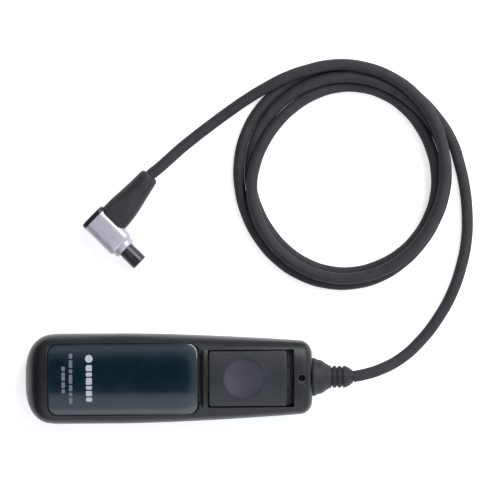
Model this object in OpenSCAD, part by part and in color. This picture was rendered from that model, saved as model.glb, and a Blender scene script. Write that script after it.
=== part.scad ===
// Wired shutter release for a camera: a pebble-shaped handset with a sliding thumb button,
// a thin cord wound into a loose three-turn coil, and a right-angle three-pole plug.
// Frame: millimetres, +X along the handset towards its cord, +Z up out of the button,
// origin at the centre of the handset's flat underside.

/* [Handset] */
// Length of the handset case
case_l = 90; // [88:0.5:92]
// Width of the case at its widest
case_w = 28.2; // [27.2:0.5:29.2]
// Height of the case over its crown
case_h = 17; // [16.8:0.1:17.4]
// How much narrower each side is at the cord end
side_taper = 2.8; // [2.6:0.1:3.2]
// Wall thickness of both shells
wall = 1.6; // [1.4:0.1:1.7]
// Height of the seam between the shells, which is the cord's height too
seam_z = 8; // [7.9:0.1:8.1]

/* [Button] */
// Length of the button along the handset
button_l = 24.4; // [23.6:0.1:24.6]
// Width of the button
button_w = 17.5; // [17:0.1:17.6]
// Diameter of the thumb dimple
dimple_d = 12.6; // [11:0.1:13.5]
// Depth of the thumb dimple
dimple_depth = 0.7; // [0.4:0.05:0.9]
// How far the button goes down for a full press
press_travel = 2.2; // [2:0.1:2.2]
// How far the pressed button slides forward to lock
lock_travel = 2; // [1.8:0.1:2]

/* [Cord] */
// Diameter of the cord
cord_d = 3.6; // [3.4:0.1:3.8]
// Diameter of one insulated conductor
wire_d = 0.9; // [0.7:0.1:0.9]

/* [Plug] */
// Side of the square pull sleeve
sleeve_w = 8.8; // [8.6:0.1:9]
// Diameter of the barrel that goes into the camera
barrel_d = 5.3; // [5.2:0.1:5.4]
// How far the sleeve pulls back to release the plug
pull_travel = 1.2; // [0.8:0.1:1.2]

/* [Hidden] */
$fn = 48;
eps = 0.01;

// ---- Case outline -------------------------------------------------------------------
half_l = case_l / 2;
straight_to = -15;            // the sides start to draw in here
taper_run = 60;
taper_power = 1.55;
nose_l = 10;                  // length of the round rear end, seen from above
nose_power = 2.5;
brow_l = 6;                   // length of the round rear end, seen from the side
brow_power = 2.2;
corner_r = 3.7;                 // plan corner radius at the cord end
edge_r = 3;                   // side-view corner radius at the cord end
crown_power = 4;              // squareness of the cross-section
top_h = case_h - seam_z;
belly_h = seam_z + 0.3;       // cut off flat at z = 0
front_drop = 1.6;             // how far the crown falls towards the cord end
front_drop_from = 20;
front_drop_run = 25;
end_wall_x = half_l - 2.4;    // inner face of the thick end wall that holds the gland

// Half-width of the case at x, before the cord end's corners.
function side_at(x) = case_w / 2
    - side_taper * pow(max(0, x - straight_to) / taper_run, taper_power);

// Crown height above the seam at x, before the cord end's edge.
function crown_at(x) = top_h - front_drop * pow(max(0, x - front_drop_from) / front_drop_run, 2);

// Share of the full size that is left at a distance d into a round end of length l.
function round_end(d, l, p) = d <= 0 ? 1 : pow(max(0, 1 - pow(min(d, l) / l, p)), 1 / p);

// What a corner of radius r takes off at a distance d past its start.
function corner_cut(d, r) = d <= 0 ? 0 : r - sqrt(max(0, r * r - d * d));

function nose_at(x) = round_end(-half_l + nose_l - x, nose_l, nose_power);
function brow_at(x) = round_end(-half_l + brow_l - x, brow_l, brow_power);

// [half-width, crown height, belly depth] of the outer surface at x.
function outer_at(x) = [
    side_at(x) * nose_at(x) - corner_cut(x - half_l + corner_r, corner_r),
    crown_at(x) * brow_at(x) - corner_cut(x - half_l + edge_r, edge_r),
    belly_h * brow_at(x) - corner_cut(x - half_l + edge_r, edge_r)
];

// The same for the cavity.
function inner_at(x) = [
    side_at(x) * nose_at(x - wall) - wall - corner_cut(x - end_wall_x + 2, 2) / 2,
    crown_at(x) * brow_at(x - wall) - wall,
    belly_h * brow_at(x - wall) - 0.3 - wall
];

outer_x = [
    for (a = [84, 72, 60, 47, 33, 18]) -half_l + nose_l * (1 - pow(sin(a), 2 / nose_power)),
    for (x = [-36, -25, -15, -5, 5, 14, 22, 30, 37]) x,
    for (a = [0, 25, 48, 68, 90]) half_l - corner_r + corner_r * sin(a)
];
inner_x = [
    for (a = [75, 62, 48, 33, 18])
        -half_l + wall + nose_l * (1 - pow(sin(a), 2 / nose_power)),
    for (x = [-32, -20, -10, 2, 14, 24, 33]) x,
    end_wall_x - 2, end_wall_x - 1, end_wall_x
];

// Half of a squared-off oval in the plane x, above the seam (up = 1) or below it (up = -1).
function half_oval(x, size, up, steps) = [
    for (i = [0:steps])
        let (a = 180 * i / steps, c = cos(a), s = abs(sin(a)))
        [
            x,
            sign(c) * size[0] * pow(abs(c), 2 / crown_power) * up,
            max(0, seam_z + up * (up > 0 ? size[1] : size[2]) * pow(s, 2 / crown_power))
        ]
];

// Closed solid through rings of equally many points.
module loft(rings) {
    n = len(rings[0]);
    last = len(rings) - 1;
    polyhedron(
        points = [for (ring = rings) each ring],
        faces = [
            [for (i = [0:n - 1]) i],
            for (k = [0:last - 1], i = [0:n - 1])
                let (a = k * n + i, b = k * n + (i + 1) % n)
                each [[a, a + n, b], [b, a + n, b + n]],
            [for (i = [n - 1:-1:0]) last * n + i]
        ],
        convexity = 6
    );
}

module outer_half(up) {
    loft([for (x = outer_x) half_oval(x, outer_at(x), up, 16)]);
}

// The cavity runs past the seam, so that it opens the shell cleanly.
module inner_half(up) {
    over = seam_z - up * 0.5;
    loft([
        for (x = inner_x)
            let (size = inner_at(x), arc = half_oval(x, size, up, 12))
            concat(arc, [[x, -size[0] * up, over], [x, size[0] * up, over]])
    ]);
}

// ---- Small helpers --------------------------------------------------------------------
module box(x0, x1, y0, y1, z0, z1) {
    translate([x0, y0, z0]) cube([x1 - x0, y1 - y0, z1 - z0]);
}

module post(x, y, r, z0, z1) {
    translate([x, y, z0]) cylinder(r = r, h = z1 - z0);
}

module both_sides() {
    children();
    mirror([0, 1, 0]) children();
}

// Everything under a crown of radius crown_r that peaks at height z and falls by slope per mm.
crown_r = 52;
module under_crown(z, slope = 0, r = crown_r) {
    translate([button_x0, 0, z])
        rotate([0, atan(slope), 0])
            translate([-60, 0, -r])
                rotate([0, 90, 0]) cylinder(r = r, h = 120, $fn = 96);
}

// Upright block with rounded corners.
module pad(x0, x1, half_y, r, z0, z1) {
    translate([0, 0, z0]) linear_extrude(z1 - z0) {
        translate([x0 + r, -half_y]) square([x1 - x0 - 2 * r, 2 * half_y]);
        translate([x0, r - half_y]) square([x1 - x0, 2 * (half_y - r)]);
        for (x = [x0 + r, x1 - r], y = [r - half_y, half_y - r])
            translate([x, y]) circle(r);
    }
}

// Tube of the given sides swept along a route.
function unit(v) = v / norm(v);
function heading(route, i) =
    unit(route[min(i + 1, len(route) - 1)] - route[max(i - 1, 0)]);
function tube_ring(at, way, r, sides) =
    let (side = unit(cross([0, 0, 1], way)), rise = cross(way, side))
    [for (k = [0:sides - 1]) at + r * (cos(360 * k / sides) * side + sin(360 * k / sides) * rise)];
module tube(route, d, sides = 8, start = undef, finish = undef) {
    last = len(route) - 1;
    loft([
        for (i = [0:last])
            tube_ring(
                route[i],
                i == 0 && start != undef ? start
                    : i == last && finish != undef ? finish
                    : heading(route, i),
                d / 2, sides
            )
    ]);
}

// Compression spring standing at the origin.
module coil_spring(r, wire, turns, h) {
    per_turn = 14;
    rise = h - wire;
    tube(
        [
            for (i = [0:turns * per_turn])
                let (t = i / per_turn, flat = min(1, max(0, (t - 0.5) / (turns - 1))))
                [r * cos(360 * t), r * sin(360 * t), wire / 2 + rise * flat]
        ],
        wire, sides = 6
    );
}

// ---- Button well and lock -------------------------------------------------------------
well_x1 = half_l - 5.8;
button_x1 = well_x1 - 2.2;    // the gap in front is what the locking slide takes up
button_x0 = button_x1 - button_l;
well_x0 = button_x0 - 0.2;
well_wall = 1;
well_y = button_w / 2 + 0.2;
well_z = 12.65;               // underside of the well's walls, where the carrier stops
button_top = 17;
button_slope = 0.028;
skirt_z = 13.2;
dimple_x = button_x1 - 13.5;
tongue_y = 3;
tongue_t = 0.7;
tongue_l = 1;
tooth_z1 = 13.05;
tooth_z0 = skirt_z + tongue_t + 0.15 - press_travel;

// ---- Carrier ---------------------------------------------------------------------------
deck_z0 = 11.2;
deck_z1 = 12.6;
deck_x0 = well_x0 - 1.4;
deck_x1 = well_x1 + 0.8;
notch_y = tongue_y + 0.4;      // clears the catch tooth
detent_x = dimple_x + 7;
post_x = dimple_x + 1;
post_y = 7.6;
post_r = 1.1;
sleeve_r = 2;
spring_z0 = 4;
spring_z1 = 8.4;
hook_x = [dimple_x - 9, dimple_x + 6];
hook_l = 4;

// ---- Contacts --------------------------------------------------------------------------
stack_x1 = dimple_x - 13.5;
stack_x0 = stack_x1 - 7;
stack_screw_x = stack_x1 - 3.5;
tail_x = stack_x0 - 2.4;      // outer end of the solder tails
blade_x1 = dimple_x + 2.5;
floor_z = wall + 0.1;         // the cavity's floor is slightly dished
release_z = 5.9;
focus_z = 7.1;
common_z = 8.5;
blade_t = 0.3;
stack_top = 9.8;
stack_screw_y = 2.6;
stack_screw_r = 0.7;

// ---- Screws ----------------------------------------------------------------------------
screw_at = [for (x = [11 - half_l, stack_screw_x + 1], m = [1, -1]) [x, m * (x < 0 ? 7 : 9)]];
screw_shank_r = 0.9;
screw_head_r = 1.7;
screw_head_z = 2.6;           // the head's seat

gland_screw_x = half_l - 3.3;
gland_x0 = half_l - 4.6;       // inner end of the gland
gland_end_x = half_l + 13;    // where the cord comes out of it

module case_outside_cuts() {
    // bore for the cord gland, half in each shell
    translate([end_wall_x - 2, 0, seam_z])
        rotate([0, 90, 0]) cylinder(r = 3.65, h = 6);
}

plate_x0 = 7.5 - half_l;
plate_x1 = well_x0 - 3;
plate_y = 11.1;
plate_t = 0.8;
plate_peak = case_h + 0.15;
groove_w = 0.8;               // shadow groove between the plate and the thumb ridge
groove_y = 9.6;
groove_z = 16.2;

module upper_case() {
    color([0.11, 0.12, 0.12])
    difference() {
        union() {
            difference() {
                outer_half(1);
                inner_half(1);
            }
            // thumb ridge across the crown
            intersection() {
                box(well_x0 - 1.8, well_x0 - 0.2, -plate_y, plate_y, 14, 18);
                under_crown(case_h + 0.5);
            }
            // walls of the button's well
            both_sides()
                box(well_x0 - well_wall, well_x1 + well_wall, well_y, well_y + 0.8, well_z, 14.2);
            intersection() {
                box(well_x0 - well_wall, well_x0, -well_y - 0.8, well_y + 0.8, well_z, 16);
                under_crown(15.8);
            }
            intersection() {
                box(well_x1, well_x1 + well_wall, -well_y - 0.4, well_y + 0.4, well_z, 16);
                under_crown(15.2);
            }
            // catch tooth that the locked button's tongue slides under
            box(well_x1, well_x1 + well_wall, -tongue_y - 0.2, tongue_y + 0.2, tooth_z0, tooth_z1);
            // boss around the gland's retaining screw
            post(gland_screw_x, 0, 1.9, seam_z + 5.4, 15.2);
            for (p = screw_at) post(p[0], p[1], 2.1, seam_z, p[0] < 0 ? 15.2 : 14);
        }
        // opening for the button
        box(well_x0, well_x1, -well_y, well_y, well_z - 0.15, 20);
        // slot above the tooth, where the tongue passes when the button isn't pressed
        box(
            well_x1 - eps, well_x1 + well_wall + eps, -tongue_y - 0.2, tongue_y + 0.2,
            tooth_z1, skirt_z + tongue_t + 0.1
        );
        // seat of the name plate
        difference() {
            pad(plate_x0 - 0.1, plate_x1 + 0.1, plate_y + 0.1, 3.1, 12, 20);
            under_crown(plate_peak - plate_t, r = crown_r - plate_t);
        }
        box(plate_x1, plate_x1 + groove_w, -groove_y, groove_y, groove_z, 20);
        case_outside_cuts();
        post(gland_screw_x, 0, 1, seam_z + 5, 20);
        for (p = screw_at) post(p[0], p[1], screw_shank_r + 0.05, seam_z - 1, 13);
    }
}

module lower_case() {
    color([0.1, 0.11, 0.11])
    difference() {
        union() {
            difference() {
                outer_half(-1);
                inner_half(-1);
            }
            both_sides() {
                post(post_x, post_y, 2.3, 1, spring_z0);
                post(post_x, post_y, post_r, 2, 10.2);
            }
            for (p = screw_at) post(p[0], p[1], 2.4, 1, seam_z);
        }
        case_outside_cuts();
        for (p = screw_at) {
            post(p[0], p[1], screw_shank_r + 0.1, -1, seam_z + 1);
            post(p[0], p[1], screw_head_r + 0.15, -1, screw_head_z);
        }
    }
}

module name_plate() {
    color([0.06, 0.08, 0.1])
    difference() {
        intersection() {
            pad(plate_x0, plate_x1, plate_y, 3, 12, 20);
            under_crown(plate_peak);
        }
        under_crown(plate_peak - plate_t, r = crown_r - plate_t);
    }
}

module case_screws() {
    color([0.6, 0.6, 0.62])
    for (p = screw_at) difference() {
        union() {
            post(p[0], p[1], screw_shank_r, screw_head_z - eps, 12.4);
            post(p[0], p[1], screw_head_r, screw_head_z - 1.1, screw_head_z);
        }
        // cross recess
        for (a = [0, 90]) translate([p[0], p[1], screw_head_z - 1.1]) rotate(a)
            cube([2, 0.45, 1.2], center = true);
    }
}

module button() {
    color([0.15, 0.15, 0.18])
    difference() {
        union() {
            difference() {
                intersection() {
                    pad(button_x0, button_x1, button_w / 2, 0.8, skirt_z, 18);
                    under_crown(button_top, button_slope);
                }
                box(button_x0 + 1, button_x1 - 1, 1 - button_w / 2, button_w / 2 - 1, skirt_z - 1, 15.2);
            }
            // tongue that the lock catches
            box(button_x1 - 0.5, button_x1 + tongue_l, -tongue_y, tongue_y, skirt_z, skirt_z + tongue_t);
            // runners that bear on the carrier, and the hooks that hold them down
            both_sides() {
                box(hook_x[0], hook_x[1] + hook_l, 3, 5.2, deck_z1 + 0.04, 15.4);
                for (x = hook_x) {
                    box(x, x + hook_l, 5.2 - eps, 6.2, 10.3, 15.4);
                    box(x, x + hook_l, 4.4, 5.3, 10.3, 11.1);
                }
            }
            // detent block
            box(detent_x - 4, detent_x + 2.2, -1.4, 1.4, 14.2, 15.4);
        }
        // thumb dimple
        dish_r = (pow(dimple_d / 2, 2) + pow(dimple_depth, 2)) / (2 * dimple_depth);
        translate([
            dimple_x, 0,
            button_top - button_slope * (dimple_x - button_x0) - dimple_depth + dish_r
        ]) sphere(r = dish_r, $fn = 96);
        // two notches for the detent spring
        for (x = [detent_x, detent_x - lock_travel])
            translate([x, 0, 14.2]) rotate([90, 0, 0]) translate([0, 0, -2])
                linear_extrude(4) polygon([[-0.8, -0.1], [0.8, -0.1], [0, 0.75]]);
    }
}

module button_carrier() {
    color([0.75, 0.75, 0.72])
    difference() {
        union() {
            translate([0, 0, deck_z0]) linear_extrude(deck_z1 - deck_z0) polygon([
                [deck_x0, -9.7], [dimple_x, -9.5], [deck_x1, -8.5],
                [deck_x1, -notch_y], [deck_x1 - 1, -notch_y], [deck_x1 - 1, notch_y], [deck_x1, notch_y],
                [deck_x1, 8.5], [dimple_x, 9.5], [deck_x0, 9.7]
            ]);
            both_sides() post(post_x, post_y, sleeve_r, spring_z1, deck_z0 + eps);
            post(dimple_x, 0, 1.6, 8.95, deck_z0 + eps);
        }
        both_sides() {
            post(post_x, post_y, post_r + 0.05, 5, 14);
            for (x = hook_x)
                box(x - 0.2, x + hook_l + lock_travel + 0.2, 5.1, 6.3, deck_z0 - 1, deck_z1 + 1);
        }
    }
}

module return_springs() {
    color([0.7, 0.7, 0.72])
    both_sides() translate([post_x, post_y, spring_z0])
        coil_spring(1.6, 0.35, 5, spring_z1 - spring_z0);
}

module lock_detent_spring() {
    color([0.7, 0.7, 0.72])
    translate([0, 1, 0]) rotate([90, 0, 0]) linear_extrude(2) polygon([
        for (p = [[-4.5, 0], [-2.3, 0], [0, 1.9], [2.3, 0], [4.5, 0], [4.5, 0.2], [2.4, 0.2], [0, 2.12],
            [-2.4, 0.2], [-4.5, 0.2]]) [detent_x + p[0], deck_z1 + p[1]]
    ]);
}

// Bores for the two screws that hold the contact stack together.
module stack_bores(r = stack_screw_r + 0.05) {
    both_sides() post(stack_screw_x, stack_screw_y, r, floor_z - 1, stack_top + 2);
}

module contact_base() {
    color([0.85, 0.83, 0.75])
    difference() {
        box(stack_x0, stack_x1, -4.2, 4.2, floor_z, release_z);
        stack_bores();
    }
}

module contact_spacers() {
    color([0.85, 0.83, 0.75])
    difference() {
        union() {
            box(stack_x0, stack_x1, -3.8, 3.8, release_z + blade_t, focus_z);
            box(stack_x0, stack_x1, -3.8, 3.8, focus_z + blade_t, common_z);
        }
        stack_bores();
    }
}

module contact_clamp_plate() {
    color([0.7, 0.7, 0.72])
    difference() {
        box(stack_x0, stack_x1, -3.8, 3.8, common_z + blade_t, stack_top);
        stack_bores();
    }
}

module contact_stack_screws() {
    color([0.6, 0.6, 0.62])
    both_sides() difference() {
        union() {
            post(stack_screw_x, stack_screw_y, stack_screw_r, 2.2, stack_top + eps);
            post(stack_screw_x, stack_screw_y, 1.15, stack_top, stack_top + 0.8);
        }
        translate([stack_screw_x, stack_screw_y, stack_top + 0.8]) cube([3, 0.35, 0.7], center = true);
    }
}

// One spring blade: solder tail, clamped root and free tongue with a contact point.
module blade(z, tail_y, point_up) {
    difference() {
        union() {
            box(tail_x, stack_x0 + eps, tail_y - 0.8, tail_y + 0.8, z, z + blade_t);
            box(stack_x0, stack_x1, -3.8, 3.8, z, z + blade_t);
            box(stack_x1 - eps, blade_x1, -2, 2, z, z + blade_t);
            post(blade_x1 - 2, 0, 0.8, z - (point_up ? 0 : 0.2), z + blade_t + (point_up ? 0.2 : 0));
        }
        stack_bores();
    }
}

module common_contact() { color([0.8, 0.62, 0.3]) blade(common_z, 2.4, false); }
module focus_contact() { color([0.8, 0.62, 0.3]) blade(focus_z, 0, false); }
module release_contact() { color([0.8, 0.62, 0.3]) blade(release_z, -2.4, true); }

// Conductor from the cord's inner end along the floor to a solder tail.
module lead_wire(start, lane, side_lane, tail_y, tail_z) {
    tube(
        [
            [gland_x0, start[0], start[1]], [gland_x0 - 2.4, start[0] * 1.2, start[1] - 0.7],
            [gland_x0 - 4.9, lane, 4.6], [gland_x0 - 7.4, lane, 2.8], [gland_x0 - 10.4, lane, 2.2],
            [stack_x1 + 6, lane, 2.2], [stack_x1 + 2.5, side_lane, 2.2], [stack_x1 - 3, side_lane, 2.3],
            [stack_x0 - 1, side_lane, 3], [tail_x - 0.8, (side_lane + tail_y) / 2, 3.6],
            [tail_x - 1.4, tail_y, 4.6], [tail_x - 0.9, tail_y, tail_z - 0.1],
            [tail_x, tail_y, tail_z + blade_t / 2]
        ],
        wire_d, start = [-1, 0, 0], finish = [1, 0, 0]
    );
}

module common_wire() { color([0.9, 0.9, 0.88]) lead_wire([1.1, 7.3], 2.6, 5.2, 2.4, common_z); }
module focus_wire() { color([0.75, 0.1, 0.08]) lead_wire([0.2, 9], 0, -4.85, 0, focus_z); }
module release_wire() { color([0.08, 0.08, 0.08]) lead_wire([-1.1, 7.3], -2.6, -6, -2.4, release_z); }

module cord_gland() {
    color([0.12, 0.12, 0.13])
    translate([0, 0, seam_z]) rotate([0, 90, 0]) difference() {
        rotate_extrude() polygon([
            [0, gland_x0], [3, gland_x0], [3, gland_x0 + 0.5], [5.2, gland_x0 + 0.5],
            [5.2, end_wall_x - 0.05], [3.6, end_wall_x - 0.05], [3.6, half_l + 0.05],
            [6, half_l + 0.05], [5.95, half_l + 0.9], [5.5, half_l + 1.4], [5.25, half_l + 2.8],
            [4.9, half_l + 3.5], [4.1, half_l + 4.5], [3.6, half_l + 5.4], [3.45, half_l + 6],
            [3.35, half_l + 10], [3.15, half_l + 10.8], [2.1, gland_end_x], [0, gland_end_x]
        ]);
        // flex grooves
        for (x = [6, 7.6, 9.2]) translate([0, 0, half_l + x]) difference() {
            cylinder(r = 5, h = 0.6);
            translate([0, 0, -1]) cylinder(r = 2.9, h = 3);
        }
    }
}

module gland_screw() {
    color([0.3, 0.3, 0.32])
    difference() {
        post(gland_screw_x, 0, 0.95, seam_z + 5.2, 14.6);
        translate([gland_screw_x, 0, 14.6]) cube([3, 0.35, 1], center = true);
    }
}

// ---- Plug ------------------------------------------------------------------------------
// In the plug's own frame +X runs from the end cap to the barrel's tip, +Y towards the boot,
// and Z = 0 is the barrel's axis.
plug_at = [-24.05, 51.25, sleeve_w / 2];
plug_turn = -45;
module at_plug() { translate(plug_at) rotate(plug_turn) children(); }
// Direction of a vector in the plug's frame, in the part's frame.
function plug_out(v) = [
    v[0] * cos(plug_turn) - v[1] * sin(plug_turn),
    v[0] * sin(plug_turn) + v[1] * cos(plug_turn), 0
];

cap_t = 1.4;
sleeve_x1 = 13.3;
collar_x1 = 15;
barrel_x1 = 21.2;
land_x0 = collar_x1 + 0.1;     // the barrel has its full diameter from here to its tip
shank_r = barrel_d / 2 - 0.2;
key_x0 = 18.5;
claw_x0 = 15.6;
claw_l = 2.2;
claw_z = 0.65;
core_r = 3.2;
core_x1 = 9.6;
sleeve_corner = 2.4;
neck_x0 = 3;
neck_x1 = 8.2;
neck_mid = (neck_x0 + neck_x1) / 2;
neck_z = 2.4;
neck_gap = 0.15;
boot_x0 = 0.8;
boot_x1 = 10.2;
boot_foot_z = 4.2;            // half-height of the boot's foot
boot_waist_y = 13;
boot_waist_r = 4;
boot_tip_y = 22.05;
boot_tip_x = 4.1;
boot_tip_r = 2.95;
boot_lean = atan2(neck_mid - boot_tip_x, boot_tip_y - sleeve_w / 2);

// ---- Cord route ------------------------------------------------------------------------
lie = cord_d / 2;              // height of the cord's centre where it lies on the table
lead_route = [
    [gland_end_x, 0, seam_z], [gland_end_x + 4, 0.75, seam_z - 0.3], [66.2, 2, 6.9],
    [73, 5.3, 4.8], [79.6, 10.9, 2.9], [85.7, 18.6, lie + 0.1], [90, 26.4, lie],
    [92.8, 34.4, lie], [94.5, 42.6, lie], [94.8, 50.8, lie], [94.1, 59, lie],
    [92.5, 66.8, lie], [90, 74.4, lie]
];
tail_route = [
    [43.2, 96.5, 3 * lie - 0.1], [37.2, 94.4, 5], [31.8, 91.7, 4.2], [25.7, 88.2, 2.9],
    [19.3, 83.9, lie + 0.2], [12.3, 78.8, lie], [8.1, 75.6, lie + 0.1], [3.9, 72.2, 2.4],
    [-0.3, 68.4, 3.5], [-3, 66, 4.2],
    plug_at + plug_out([boot_tip_x, boot_tip_y])
];
coil_centre = [56.2, 62.2];
coil_r0 = 26.7;
coil_r1 = 37.6;
coil_h = 9.2;

module cord_lead() {
    color([0.14, 0.14, 0.15])
    tube(lead_route, cord_d, start = [1, 0, 0]);
}

module cord_tail() {
    color([0.14, 0.14, 0.15])
    tube(tail_route, cord_d, finish = -plug_out([-sin(boot_lean), cos(boot_lean)]));
}

// The bundle of turns: a ring with a rounded top.
module cord_coil() {
    color([0.14, 0.14, 0.15])
    translate([coil_centre[0], coil_centre[1], 0]) rotate_extrude($fn = 96) polygon([
        [coil_r0, 1], [coil_r0 + 0.8, 0], [coil_r1 - 0.8, 0], [coil_r1, 1],
        [coil_r1, 3.8], [coil_r1 - 3.4, coil_h], [coil_r0 + 2.4, coil_h], [coil_r0, 4.4]
    ]);
}

// ---- Plug's parts ----------------------------------------------------------------------
// Rod along the plug's axis.
module rod(x0, x1, r) {
    translate([x0, 0, 0]) rotate([0, 90, 0]) cylinder(r = r, h = x1 - x0);
}

// The sleeve's rounded square outline, grown by g, from x0 to x1.
module square_rod(x0, x1, g = 0) {
    s = sleeve_w / 2 + g;
    r = sleeve_corner + g;
    translate([x0, 0, 0]) rotate([90, 0, 90]) linear_extrude(x1 - x0) {
        translate([-s, r - s]) square([2 * s, 2 * (s - r)]);
        translate([r - s, -s]) square([2 * (s - r), 2 * s]);
        for (y = [r - s, s - r], z = [r - s, s - r]) translate([y, z]) circle(r);
    }
}

module plug_body() {
    color([0.07, 0.07, 0.08])
    at_plug() difference() {
        union() {
            rod(cap_t + 0.15, core_x1, core_r);
            rod(core_x1 - eps, land_x0, shank_r);
            rod(land_x0 - eps, barrel_x1, barrel_d / 2);
            translate([neck_x0, 2, -neck_z]) cube([neck_x1 - neck_x0, 2.3, 2 * neck_z]);
        }
        for (a = [90, 210, 330]) rotate([a, 0, 0]) translate([0, 0, 1.25]) rod(14, barrel_x1 + 1, 0.55);
        // keyway
        translate([key_x0, -0.4, barrel_d / 2 - 0.45]) cube([barrel_x1, 0.8, 2]);
        // pockets of the claws
        for (m = [0, 1]) mirror([0, m, 0])
            translate([claw_x0 - 0.05, barrel_d / 2 - 0.5, -claw_z - 0.05])
                cube([claw_l + 0.1, 1, 2 * claw_z + 0.1]);
    }
}

module plug_contact_sockets() {
    color([0.85, 0.68, 0.3])
    at_plug() for (a = [90, 210, 330]) rotate([a, 0, 0]) translate([0, 0, 1.25]) difference() {
        rod(14, barrel_x1 - 0.2, 0.54);
        rod(15.5, barrel_x1, 0.38);
    }
}

module plug_lock_claws() {
    color([0.75, 0.75, 0.77])
    at_plug() for (m = [0, 1]) mirror([0, m, 0])
        translate([claw_x0, barrel_d / 2 - 0.5, -claw_z]) cube([claw_l, 0.4, 2 * claw_z]);
}

module plug_sleeve() {
    color([0.78, 0.77, 0.8])
    at_plug() difference() {
        union() {
            square_rod(cap_t, sleeve_x1);
            rod(sleeve_x1 - eps, collar_x1, 3.7);
        }
        rod(0, 12.2, core_r + 0.1);
        rod(0, collar_x1 + 1, barrel_d / 2 + 0.08);
        // slot for the boot's neck, longer than the neck by the pull
        translate([neck_x0 - neck_gap, 1, -neck_z - neck_gap])
            cube([neck_x1 - neck_x0 + pull_travel + 2 * neck_gap, 6, 2 * (neck_z + neck_gap)]);
    }
}

module plug_end_cap() {
    color([0.08, 0.08, 0.09])
    at_plug() difference() {
        square_rod(0, cap_t);
        translate([-0.4, 0, 0]) square_rod(0, 0.6, -1.6);
    }
}

module plug_lock_spring() {
    color([0.7, 0.7, 0.72])
    at_plug() translate([core_x1, 0, 0]) rotate([0, 90, 0]) coil_spring(2.98, 0.32, 3, 12.2 - core_x1);
}

// Disc across the boot that ends at (x, y) and is turned by a: a hull joins it to the next.
module boot_disc(x, y, r, a = 0) {
    translate([x, y, 0]) rotate([-90, 0, a]) translate([0, 0, -0.3])
        cylinder(r = r, h = 0.3, $fn = 32);
}

module plug_boot() {
    color([0.12, 0.12, 0.13])
    at_plug() difference() {
        union() {
            hull() {
                for (x = [boot_x0 + 2, boot_x1 - 2], z = [2 - boot_foot_z, boot_foot_z - 2])
                    translate([x, 2.6, z]) rotate([-90, 0, 0]) cylinder(r = 2, h = 3, $fn = 24);
                boot_disc(neck_mid - 0.4, boot_waist_y, boot_waist_r);
            }
            hull() {
                boot_disc(neck_mid - 0.4, boot_waist_y, boot_waist_r);
                boot_disc(boot_tip_x, boot_tip_y, boot_tip_r, boot_lean);
            }
        }
        square_rod(-5, 20, 0.1);
    }
}

upper_case();
lower_case();
name_plate();
case_screws();
button();
button_carrier();
return_springs();
lock_detent_spring();
contact_base();
contact_spacers();
contact_clamp_plate();
contact_stack_screws();
common_contact();
focus_contact();
release_contact();
common_wire();
focus_wire();
release_wire();
cord_gland();
gland_screw();
cord_lead();
cord_coil();
cord_tail();
plug_boot();
plug_body();
plug_contact_sockets();
plug_lock_claws();
plug_sleeve();
plug_end_cap();
plug_lock_spring();
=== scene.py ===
"""Looks of a wired shutter release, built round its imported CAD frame.

Lengths are millimetres in the part's own frame until a mesh is made, which is in metres."""
import math

import bmesh
import bpy
import numpy as np
from mathutils import Matrix, Vector


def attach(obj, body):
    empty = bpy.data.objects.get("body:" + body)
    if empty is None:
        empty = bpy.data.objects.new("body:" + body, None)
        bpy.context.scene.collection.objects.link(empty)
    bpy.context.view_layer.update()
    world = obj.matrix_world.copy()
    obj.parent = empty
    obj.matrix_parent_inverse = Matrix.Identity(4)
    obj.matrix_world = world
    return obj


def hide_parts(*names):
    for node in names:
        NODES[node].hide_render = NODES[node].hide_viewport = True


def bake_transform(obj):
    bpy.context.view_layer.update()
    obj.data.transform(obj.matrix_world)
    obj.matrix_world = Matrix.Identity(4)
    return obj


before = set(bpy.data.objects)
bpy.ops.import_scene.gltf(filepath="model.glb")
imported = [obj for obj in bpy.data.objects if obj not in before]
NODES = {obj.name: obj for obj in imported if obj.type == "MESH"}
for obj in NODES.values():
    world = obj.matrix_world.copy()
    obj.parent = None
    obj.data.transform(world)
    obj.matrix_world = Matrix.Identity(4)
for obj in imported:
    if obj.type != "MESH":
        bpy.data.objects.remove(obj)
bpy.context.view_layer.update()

MM = 0.001
scene = bpy.context.scene

# ---- Camera: straight above the table, with +Y up the picture ---------------------------
VIEW_WIDTH = 159
VIEW_CENTRE = (25.815, 40.08)
VIEW_ROLL = -0.39           # degrees: the handset lies a touch askew to the picture
CAMERA_HEIGHT = 800
SENSOR = 36


def make_camera():
    camera = bpy.data.objects.new("camera", bpy.data.cameras.new("camera"))
    scene.collection.objects.link(camera)
    camera.location = Vector((*VIEW_CENTRE, CAMERA_HEIGHT)) * MM
    camera.rotation_euler = (0, 0, math.radians(VIEW_ROLL))
    camera.data.sensor_width = SENSOR
    camera.data.lens = SENSOR * CAMERA_HEIGHT / VIEW_WIDTH
    camera.data.clip_start = 0.01
    camera.data.clip_end = 50
    scene.camera = camera


make_camera()

# ---- Materials --------------------------------------------------------------------------


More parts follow.
